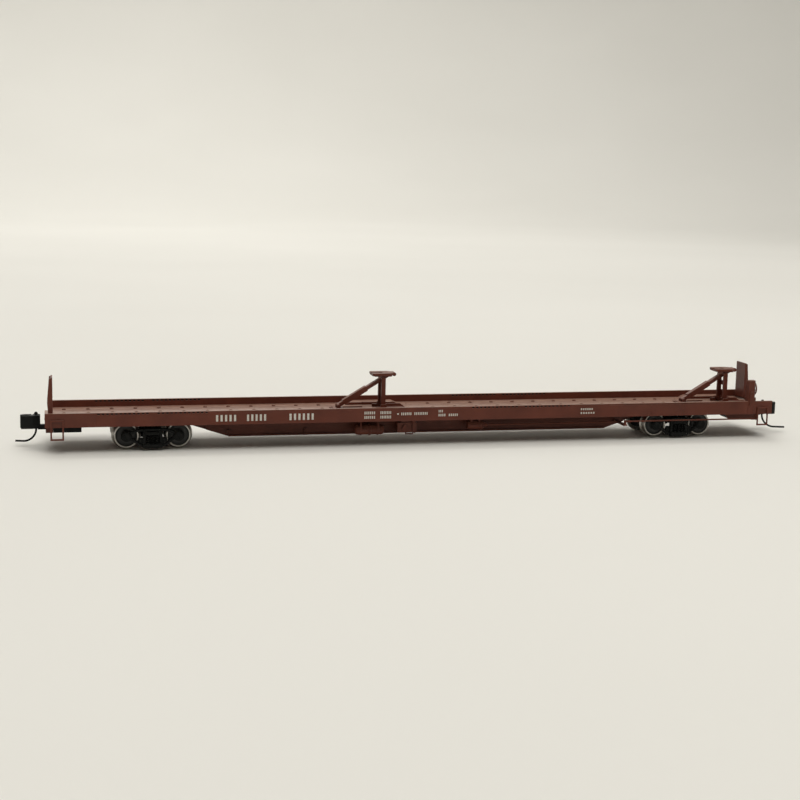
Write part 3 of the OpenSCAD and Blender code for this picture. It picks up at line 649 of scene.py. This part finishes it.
def truck_side(wheelbase, axle_z):
    """One side frame, about the truck's middle, on the +Y side. The two bars are drawn for +X and
    mirrored, and the rest are blocks, plates and bolts."""
    y = (FRAME_INNER + FRAME_OUTER) / 2
    reach = wheelbase / 2
    section = oblong(FRAME_OUTER - FRAME_INNER, BAR_HEIGHT, 0.1)
    arch = bar_path([(2.9, y, ARCH_TOP), (reach - 0.3, y, axle_z + 0.45),
                     (reach + 1.1, y, axle_z + 0.2)], 0.8)
    tie = bar_path([(2.4, y, TIE_FOOT), (reach - 0.9, y, axle_z - 0.4),
                    (reach + 1.1, y, axle_z - 0.25)], 0.9)
    parts = [carried(arch, section), carried(tie, section)]
    for x in (-COLUMN_X, COLUMN_X):
        parts.append(block((x - 0.3, FRAME_INNER + 0.02, 0.9), (x + 0.3, FRAME_OUTER + 0.16, 4.5),
                           0.08))
    spring_seat = block((-2.0, FRAME_INNER - 0.1, 0.55), (2.0, 7.18, 1.45), 0.14)
    bolster_end = block((-1.5, FRAME_INNER - 0.1, 3.3), (1.5, 7.05, 4.05), 0.12)
    seat_foot = block((-1.1, FRAME_INNER, 0.44), (1.1, 7.0, 0.7), 0.06)
    backing = block((-1.6, FRAME_INNER - 0.05, 1.3), (1.6, FRAME_INNER + 0.35, 4.2), 0.05)
    parts += [spring_seat, bolster_end, seat_foot, backing]
    for x in (-GUSSET_X, GUSSET_X):
        parts.append(block((x - 0.55, FRAME_INNER + 0.1, 0.95),
                           (x + 0.55, FRAME_OUTER - 0.15, 2.75), 0.1))
    for x in (-reach, reach):
        parts.append(moved(bearing_cap(), AXIS_TO_Y, (x, 0, axle_z)))
    for x, z, out in ((2.9, ARCH_TOP, 0), (2.3, 1.05, 0), (1.0, 3.68, 0.28)):
        for side in (-1, 1):
            parts.append(moved(dome(0.17, 0.1), AXIS_TO_Y, (side * x, FRAME_OUTER + out, z)))
    return joined(*parts)


def bar_path(half, radius):
    """A bar's path from its half on the +X side: the half mirrored, then the half, with corners
    rounded."""
    half = np.array(half, float)
    return rounded(np.concatenate([half[::-1] * (-1, 1, 1), half]), radius)


def bearing_cap():
    """The roller bearing's housing and end cap, turned about the axle, with three cap screws."""
    shell = lathe([(0, 5.92), (0.72, 5.92), (1.12, 5.98), (1.2, 6.08), (1.2, 6.62), (1.14, 6.74),
                   (0.96, 6.8), (0.93, 6.86), (0.92, 7.0), (0.84, 7.08), (0.3, 7.08), (0.22, 7.04),
                   (0, 7.04)], 36)
    angles = np.radians([90, 210, 330])
    screws = [moved(dome(0.14, 0.1), to=(0.6 * np.cos(t), 0.6 * np.sin(t), 7.07)) for t in angles]
    return joined(shell, *screws)


def dome(radius, height, steps=10):
    """A bolt or rivet head: r = radius cos t, h = height sin t, with a short skirt below it."""
    t = np.linspace(0, np.pi / 2, 4)
    profile = np.column_stack([radius * np.cos(t), height * np.sin(t)])
    return lathe([(radius, -0.05), *profile.tolist()], steps)


def coil_spring(radius, wire, low, high, turns=4, steps=14, sides=7):
    """A helix x = r cos a, y = r sin a, z rising evenly from low to high, as a tube of the wire's
    radius."""
    a = np.linspace(0, 2 * np.pi * turns, turns * steps + 1)
    rise = low + wire + (high - low - 2 * wire) * a / a[-1]
    path = np.column_stack([radius * np.cos(a), radius * np.sin(a), rise])
    return carried(path, circle(wire, sides), side=(0, 0, 1))


# %% Both trucks
for end in ("a", "b"):
    centre = middle_mm(f"truck_frame_{end}")
    axle_z = middle_mm("wheels_1")[2]
    wheelbase = abs(middle_mm("wheels_2")[0] - middle_mm("wheels_1")[0])
    side = truck_side(wheelbase, axle_z)
    piece(f"truck_{end}_side_frames", moved(both_sides(side), to=(centre[0], 0, 0)), f"truck_{end}",
          "black_plastic", [f"truck_frame_{end}"])
    bowl = lathe([(0.86, 2.95), (1.9, 2.95), (2.05, 3.05), (2.05, 4.8), (1.95, 4.95), (0.98, 4.95),
                  (0.86, 4.85)], 40, ring=True)
    side_bearing = lathe([(0, 4.2), (0.55, 4.2), (0.55, 4.85), (0.47, 4.95), (0, 4.95)], 20)
    arm = joined(block((-1.45, 1.6, 3.02), (1.45, 6.25, 4.4), 0.16),
                 moved(side_bearing, to=(0, 4.6, 0)))
    piece(f"truck_{end}_bolster", moved(joined(bowl, both_sides(arm)), to=(centre[0], 0, 0)),
          f"truck_{end}", "black_plastic")
    coils = [moved(coil_spring(0.36, 0.1, 1.4, 3.35), to=(x, 6.78, 0)) for x in (-0.92, 0, 0.92)]
    piece(f"truck_{end}_springs", moved(both_sides(joined(*coils)), to=(centre[0], 0, 0)),
          f"truck_{end}", "black_plastic")


# %% [markdown]
# ## Ribs under the head plates and on the bridge plates
# A cast hitch head is a thin plate stiffened round its rim, and a bridge plate has bars across it
# that a tyre can grip. Either could be sculpted into its plate, but both are rows of small blocks,
# so they are placed by counting along the part's box.

# %% Ribs
RIB_PITCH = 0.62
RIB_LENGTH = 0.36
RIB_Y = (1.66, 2.04)
GRIP_PITCH = 1.15
GRIP_HALF = 0.16
GRIP_FIRST = 9.2
GRIP_INSET = 0.75
for where in ("mid", "end"):
    low, high = box_mm(f"hitch_head_{where}")
    back, front, top = low[0], high[0], high[2]
    ribs = [block((x, RIB_Y[0], top - 0.7), (x + RIB_LENGTH, RIB_Y[1], top - 0.4), 0.04)
            for x in np.arange(back + 0.15, front - 1.9, RIB_PITCH)]
    cleat = block((back + 0.02, -1.6, top - 0.72), (back + 0.5, 1.6, top - 0.3), 0.06)
    piece(f"head_{where}_ribs", joined(both_sides(joined(*ribs)), cleat), f"head_{where}",
          "painted_hitch")

for end in ("a", "b"):
    low, high = box_mm(f"bridge_plate_{end}")
    face = low[0] + GRIP_INSET if end == "a" else high[0] - GRIP_INSET
    bars = [block((face - GRIP_HALF, low[1] + 0.5, z), (face + GRIP_HALF, high[1] - 0.5, z + 0.24),
                  0.05) for z in np.arange(GRIP_FIRST, high[2] - 0.6, GRIP_PITCH)]
    piece(f"bridge_{end}_grips", joined(*bars), f"bridge_{end}", "painted_bridge")


# %% [markdown]
# ## Couplers' trip wires
# Each knuckle turns on a blackened steel wire that hangs down and curves forward, so that a magnet
# between the rails can pull it. A curve with a round bevel would do. Here the wire is a circle
# carried along a line: a straight drop, a quarter turn and a short straight tail, which gives the
# same bend as the wire's forming tool.

# %% Trip wires
def joint_mm(name):
    """Where a joint's axis passes, in millimetres."""
    found = next(j for j in frame["joints"] if j["name"] == name)
    return np.array(found["pos_m"]) / MM


def wire_shape(radius, drop_top, bend_z, bend_r, tail):
    """Down to bend_z, round by x = r (1 - cos a), z = bend_z - r sin a, and on by tail."""
    a = np.linspace(0, np.pi / 2, 15)
    arc = np.column_stack([bend_r * (1 - np.cos(a)), 0 * a, bend_z - bend_r * np.sin(a)])
    drop = np.array([[0, 0, drop_top], [0, 0, (drop_top + bend_z) / 2]])
    end = arc[-1] + np.array([[tail * 0.5, 0, 0], [tail, 0, 0]])
    return carried(np.concatenate([drop, arc, end]), circle(radius, 16))


WIRE_RADIUS = 0.21
TRIP_BEND = 2.85
TRIP_TAIL = {"a": 1.65, "b": 2.5}
TRIP_TURN = math.radians(-17)
COLLAR = [(0, 0), (0.4, 0), (0.45, 0.06), (0.25, 0.46), (0.2, 0.5), (0, 0.5)]
cos_turn, sin_turn = math.cos(TRIP_TURN), math.sin(TRIP_TURN)
for end in ("a", "b"):
    low, high = box_mm(f"trip_pin_{end}")
    axis = joint_mm(f"knuckle_{end}_open")
    wire = wire_shape(WIRE_RADIUS, high[2] - 0.3, low[2] + WIRE_RADIUS + TRIP_BEND, TRIP_BEND,
                      TRIP_TAIL[end])
    collar = moved(lathe(COLLAR, 20), to=(0, 0, high[2] - 0.5))
    turn = [[cos_turn, -sin_turn, 0], [sin_turn, cos_turn, 0], [0, 0, 1]]
    trip = moved(joined(wire, collar), turn)
    if end == "a":
        trip = moved(trip, HALF_TURN)
    piece(f"trip_wire_{end}", moved(trip, to=(axis[0], axis[1], 0)), f"knuckle_{end}",
          "blackened_wire", [f"trip_pin_{end}"])


# %% [markdown]
# ## Brake gear under the car
# A tank, a cylinder and a valve hang on the near side of the centre sill, joined to the hand brake
# by rods. The tank could be a capsule with rings added. Real tanks and cylinders are pressed and
# turned, so one lathe profile each gives the round heads and raised bands together.

# %% Air reservoir and its straps
STRAP_TOP = 6.4
TANK_RADIUS = 1.08
TANK_AXIS = 1.27  # above the foot of the part's box

low, high = box_mm("air_reservoir")
length = high[0] - low[0]
y_tank = (low[1] + high[1]) / 2
z_tank = low[2] + TANK_AXIS
near_head = [(0, 0), (0.35, 0.01), (0.72, 0.09), (0.96, 0.28), (1.06, 0.55), (TANK_RADIUS, 0.75)]
near_seam = [(1.13, 0.78), (1.13, 0.95), (TANK_RADIUS, 0.98)]
flanges = [(TANK_RADIUS, 3.05), (1.16, 3.08), (1.25, 3.12), (1.25, 3.46), (1.16, 3.5),
           (TANK_RADIUS, 3.53)]
far_end = [(r, length - h) for r, h in (near_head + near_seam)[::-1]]
tank = moved(lathe(near_head + near_seam + flanges + far_end, 40), AXIS_TO_X,
             (low[0], y_tank, z_tank))
straps = []
for x in (low[0] + 1.3, low[0] + 5.1):
    strap = rounded([(x, y_tank + 1.12, STRAP_TOP), (x, y_tank + 1.16, z_tank),
                     (x, y_tank + 0.75, z_tank - 1.0), (x, y_tank, z_tank - 1.18),
                     (x, y_tank - 0.75, z_tank - 1.0), (x, y_tank - 1.16, z_tank),
                     (x, y_tank - 1.1, z_tank + 0.8), (x, y_tank - 0.4, STRAP_TOP)], 0.4, 4)
    straps.append(carried(strap, oblong(0.34, 0.08, 0.02), side=(1, 0, 0)))
boss = moved(lathe([(0, 0), (0.2, 0), (0.2, 0.3), (0.14, 0.36), (0, 0.36)], 14), AXIS_TO_NEAR,
             (low[0] + 2.1, y_tank - 1.0, z_tank + 0.2))
piece("air_tank", joined(tank, boss), "car_body", "painted_brake_gear", ["air_reservoir"])
piece("air_tank_straps", joined(*straps), "car_body", "painted_brake_gear")

# %% Brake cylinder
CYLINDER_AXIS = 1.1
FOOT_TOP = 6.46
BOLTS = 8

low, high = box_mm("brake_cylinder")
y_cyl = (low[1] + high[1]) / 2
z_cyl = low[2] + CYLINDER_AXIS
profile = [(0, 0), (0.5, 0.02), (0.78, 0.1), (0.9, 0.28), (0.95, 0.5), (0.95, 2.86),
           (1.08, 2.94), (1.1, 3.0), (1.1, 3.2), (1.04, 3.24), (1.04, 3.28), (1.1, 3.32),
           (1.1, 3.46), (0.98, 3.52), (0.6, 4.0), (0.46, 4.45), (0.26, 4.75), (0.24, 5.0), (0, 5.0)]
bolts = [moved(dome(0.11, 0.08), to=(0.97 * math.cos(t), 0.97 * math.sin(t), 3.44))
         for t in np.linspace(0, 2 * np.pi, BOLTS, endpoint=False)]
body = moved(joined(lathe(profile, 40), *bolts), AXIS_TO_X, (low[0], y_cyl, z_cyl))
feet = [block((low[0] + x, y_cyl - 0.55, z_cyl + 0.6), (low[0] + x + 0.4, y_cyl + 0.55, FOOT_TOP),
              0.06) for x in (0.8, 2.6)]
piece("brake_cylinder_turned", joined(body, *feet), "car_body", "painted_brake_gear",
      ["brake_cylinder"])


# %% [markdown]
# ## Rods, grab iron and hand wheel
# Rods are thin bars with a flattened eye at each end, and the grab iron is bent wire. A hand wheel
# is a cast ring on spokes. Cylinders and a torus would stand for them, but the bars' flattened ends
# and the spokes' bow need sections that change along the way.

# %% Rods
def rod(node, name, radius, eye):
    """A bar along X between the ends of a part's box, flattened to an eye at each end."""
    low, high = box_mm(node)
    y, z = (low[1] + high[1]) / 2, (low[2] + high[2]) / 2
    x = np.array([low[0], low[0] + 0.15, low[0] + 0.8, low[0] + 1.2, high[0] - 1.2, high[0] - 0.8,
                  high[0] - 0.15, high[0]])
    swell = np.array([0.7, eye, eye, 1, 1, eye, eye, 0.7])
    piece(name, skin_sections(x, y, z, radius, swell), "car_body", "painted_brake_gear", [node])


def skin_sections(x, y, z, radius, swell, sides=14):
    """Circles square to X. A swell over 1 makes a circle taller and thinner, and a swell under 1
    makes it less tall."""
    a = np.linspace(0, 2 * np.pi, sides, endpoint=False)
    grid = np.stack([np.repeat(x[:, None], sides, 1),
                     y + radius * np.cos(a) / np.maximum(swell[:, None], 1),
                     z + radius * np.sin(a) * np.minimum(swell[:, None], 1.0)
                     + radius * np.sin(a) * np.maximum(swell[:, None] - 1, 0)], -1)
    return skin(grid)


rod("hand_brake_rod", "hand_brake_rod_drawn", 0.17, 1.45)
rod("pull_rod", "pull_rod_drawn", 0.2, 1.4)

# %% Grab iron
GRAB_RADIUS = 0.12
low, high = box_mm("brake_grab")
y_grab = (low[1] + high[1]) / 2
corner = (low[0] + GRAB_RADIUS, y_grab, high[2] - GRAB_RADIUS)
grab = rounded([(high[0], y_grab, corner[2]), corner, (corner[0], y_grab, low[2])], 0.5, 6)
piece("grab_iron", carried(grab, circle(GRAB_RADIUS, 10)), "car_body", "painted_brake_gear",
      ["brake_grab"])

# %% Hand wheel
RIM_WIRE = 0.17
SPOKES = 5
HUB = [(0, -0.95), (0.25, -0.95), (0.25, -0.25), (0.42, -0.2), (0.46, -0.1), (0.46, 0.12),
       (0.38, 0.2), (0.22, 0.24), (0.2, 0.32), (0.12, 0.36), (0, 0.36)]


def hand_wheel(radius):
    """Rim: a circle turned about the shaft. Spokes: thin bars that bow out between hub and rim."""
    middle = radius - RIM_WIRE
    parts = [lathe(circle(RIM_WIRE, 12) + [middle, 0], 56, ring=True), lathe(HUB, 24)]
    for t in np.linspace(0, 2 * np.pi, SPOKES, endpoint=False):
        out = np.array([math.cos(t), math.sin(t), 0])
        path = rounded([out * 0.3 + [0, 0, 0.06], out * 0.8 + [0, 0, 0.1], out * middle], 0.3, 4)
        parts.append(carried(path, oblong(0.12, 0.26, 0.04), side=(0, 0, 1)))
    return joined(*parts)


low, high = box_mm("brake_wheel")
axis = joint_mm("brake_wheel_turn")
piece("hand_wheel", moved(hand_wheel((high[2] - low[2]) / 2), AXIS_TO_X, axis), "brake_hand_wheel",
      "painted_brake_gear", ["brake_wheel"])


# %% [markdown]
# ## Marks on the side sills
# The real car's side carries lines of stencilled data. Lettering would be somebody's mark, so each
# line is stood for by plain strokes of the same height, spacing and paint. A painted mask would
# need unwrapping. They are printed on the plastic, so each stroke is a block that stands a
# hundredth of a millimetre proud.

# %% Plain stencil marks
MARK_PROUD = 0.012
MARK_SUNK = 0.02


def strokes(start, end, low, high, count, gap=0.45):
    """count upright strokes between start and end along X. Each fills its own share of the way, but
    for a gap."""
    edges = np.linspace(start, end, count + 1)
    width = (edges[1] - edges[0]) * (1 - gap)
    return [(x, x + width, low, high) for x in edges[:-1]]


big_lines = [mark for start, end, count in ((-46.1, -41.4, 5), (-39.6, -35.1, 5), (-30.6, -24.9, 6))
             for mark in strokes(start, end, 6.25, 7.62, count, 0.52)]
load_lines = [mark for foot in (7.16, 6.2)
              for start, end, count in ((-14.4, -11.9, 6), (-10.9, -8.4, 7))
              for mark in strokes(start, end, foot, foot + 0.62, count)]
limit_line = (strokes(-7.2, -6.85, 6.98, 7.28, 1, 0) + strokes(-6.3, -3.9, 6.84, 7.42, 6)
              + strokes(-3.4, -0.3, 6.84, 7.42, 8))
built_lines = (strokes(2.0, 3.1, 7.3, 7.84, 3) + strokes(2.0, 3.7, 6.44, 6.98, 4)
               + strokes(4.3, 6.5, 6.44, 6.98, 5))
repack_lines = strokes(34.6, 37.6, 7.2, 7.62, 6) + strokes(34.6, 38.1, 6.34, 6.76, 6, 0.5)
sill_face = box_mm("deck")[0][1]
marks = [block((x0, sill_face - MARK_PROUD, z0), (x1, sill_face + MARK_SUNK, z1), 0.01, 1)
         for x0, x1, z0, z1 in big_lines + load_lines + limit_line + built_lines + repack_lines]
near_marks = joined(*marks)
piece("side_marks_near", near_marks, "car_body", "painted_deck", finish=stencil_white)
piece("side_marks_far", moved(near_marks, HALF_TURN), "car_body", "painted_deck",
      finish=stencil_white)


# %% [markdown]
# ## Floor, light and camera
# The car stands on a pale paper sweep. A flat plane would show a horizon, and a folded sheet would
# have a wall on one side only. This sweep is a shallow bowl, so that its wall lies behind the car
# from every side, and its profile is a straight floor that turns up along a quarter circle.

# %% Paper sweep
FLOOR_REACH = 1100.0
WALL_RADIUS = 900.0
WALL_HEIGHT = 1400.0


def sweep_profile():
    """Radius and height: flat to FLOOR_REACH, round by FLOOR_REACH + R sin a and R (1 - cos a),
    where R is WALL_RADIUS, then straight up."""
    a = np.linspace(0, np.pi / 2, 24)
    flat = [(0, 0), (FLOOR_REACH * 0.3, 0), (FLOOR_REACH * 0.7, 0)]
    bend = np.column_stack([FLOOR_REACH + WALL_RADIUS * np.sin(a), WALL_RADIUS * (1 - np.cos(a))])
    return flat + bend.tolist() + [(FLOOR_REACH + WALL_RADIUS, WALL_HEIGHT)]


points, faces = lathe(sweep_profile(), 96)
paper_mesh = bpy.data.meshes.new("paper_sweep")
paper_mesh.from_pydata((points * MM).tolist(), [], [face[::-1] for face in faces[:-1]])
weld(paper_mesh)
paper_mesh.shade_smooth()
paper = bpy.data.objects.new("paper_sweep", paper_mesh)
bpy.context.scene.collection.objects.link(paper)
pale_paper = Finish("pale_paper")
mottle = pale_paper.spread(pale_paper.noise(0.004, 2), 0, 1)
pale_paper.feed(pale_paper.mix(mottle, (0.80, 0.785, 0.735), (0.83, 0.815, 0.765)),
                pale_paper.shader.inputs["Base Color"])
pale_paper.shader.inputs["Roughness"].default_value = 0.85
pale_paper.shader.inputs["Specular IOR Level"].default_value = 0.2
paper_mesh.materials.append(pale_paper.material)
paper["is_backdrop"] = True


# %% [markdown]
# Five soft boxes light it. The key is above and in front, the ceiling gives the wide soft shadow,
# the back light brings a sheen to the deck and a faint shadow forward, and two more lift the floor
# and the wall behind. One picture of a room could light it too, but each box can be set by itself.

# %% Soft lights
WARM_WHITE = (1.0, 0.985, 0.95)
FILL = 0.13


def soft_light(name, place_mm, aim_mm, size_mm, watts):
    """A square soft box at place, turned to face aim."""
    lamp = bpy.data.lights.new(name, "AREA")
    lamp.shape = "SQUARE"
    lamp.size = size_mm * MM
    lamp.energy = watts
    lamp.color = WARM_WHITE
    made = bpy.data.objects.new(name, lamp)
    made.location = Vector(place_mm) * MM
    away = Vector(aim_mm) - Vector(place_mm)
    made.rotation_euler = away.to_track_quat("-Z", "Y").to_euler()
    bpy.context.scene.collection.objects.link(made)


soft_light("key_light", (60, -420, 860), (0, 0, 0), 440, 2.8)
soft_light("ceiling_light", (0, 150, 1150), (0, 150, 0), 1500, 8.0)
soft_light("back_light", (0, 1500, 1000), (0, 0, 0), 800, 2.8)
soft_light("floor_light", (0, 560, 900), (0, 1050, 0), 500, 2.6)
soft_light("backdrop_light", (0, 1000, 700), (0, 1600, 200), 500, 1.65)
world = bpy.data.worlds.new("studio")
world.use_nodes = True
world.node_tree.nodes["Background"].inputs["Color"].default_value = (*WARM_WHITE, 1)
world.node_tree.nodes["Background"].inputs["Strength"].default_value = FILL
bpy.context.scene.world = world
bpy.context.scene.view_settings.view_transform = "Standard"


# %% [markdown]
# The camera stands in front of the car's left part, a little above the deck, and looks to the right
# and down. It could be aimed by a constraint, but three angles say how it was held, tilt included.

# %% Camera
CAMERA_PLACE = (-78.0, -309.2, 60.4)
HEADING = math.radians(13.36)
DOWNWARD = math.radians(9.24)
ROLL = math.radians(1.22)
LENS = 65.5


def aimed(heading, downward, roll):
    """Rotation whose columns are the camera's right, its up and its back, after a small roll."""
    ahead = Vector((math.sin(heading) * math.cos(downward),
                    math.cos(heading) * math.cos(downward), -math.sin(downward)))
    level = Vector((math.cos(heading), -math.sin(heading), 0))
    up = level.cross(ahead)
    right = math.cos(roll) * level + math.sin(roll) * up
    up = -math.sin(roll) * level + math.cos(roll) * up
    return Matrix((right, up, -ahead)).transposed()


lens = bpy.data.cameras.new("camera")
lens.sensor_width = 36
lens.lens = LENS
lens.clip_start = 0.01
lens.clip_end = 20
camera = bpy.data.objects.new("camera", lens)
camera.matrix_world = aimed(HEADING, DOWNWARD, ROLL).to_4x4()
camera.location = [c * MM for c in CAMERA_PLACE]
bpy.context.scene.collection.objects.link(camera)
bpy.context.scene.camera = camera

# %% Sizes, and the last line
low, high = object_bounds()
print("the finished car measures", [round((h - l) / MM, 2) for l, h in zip(low, high)], "mm")
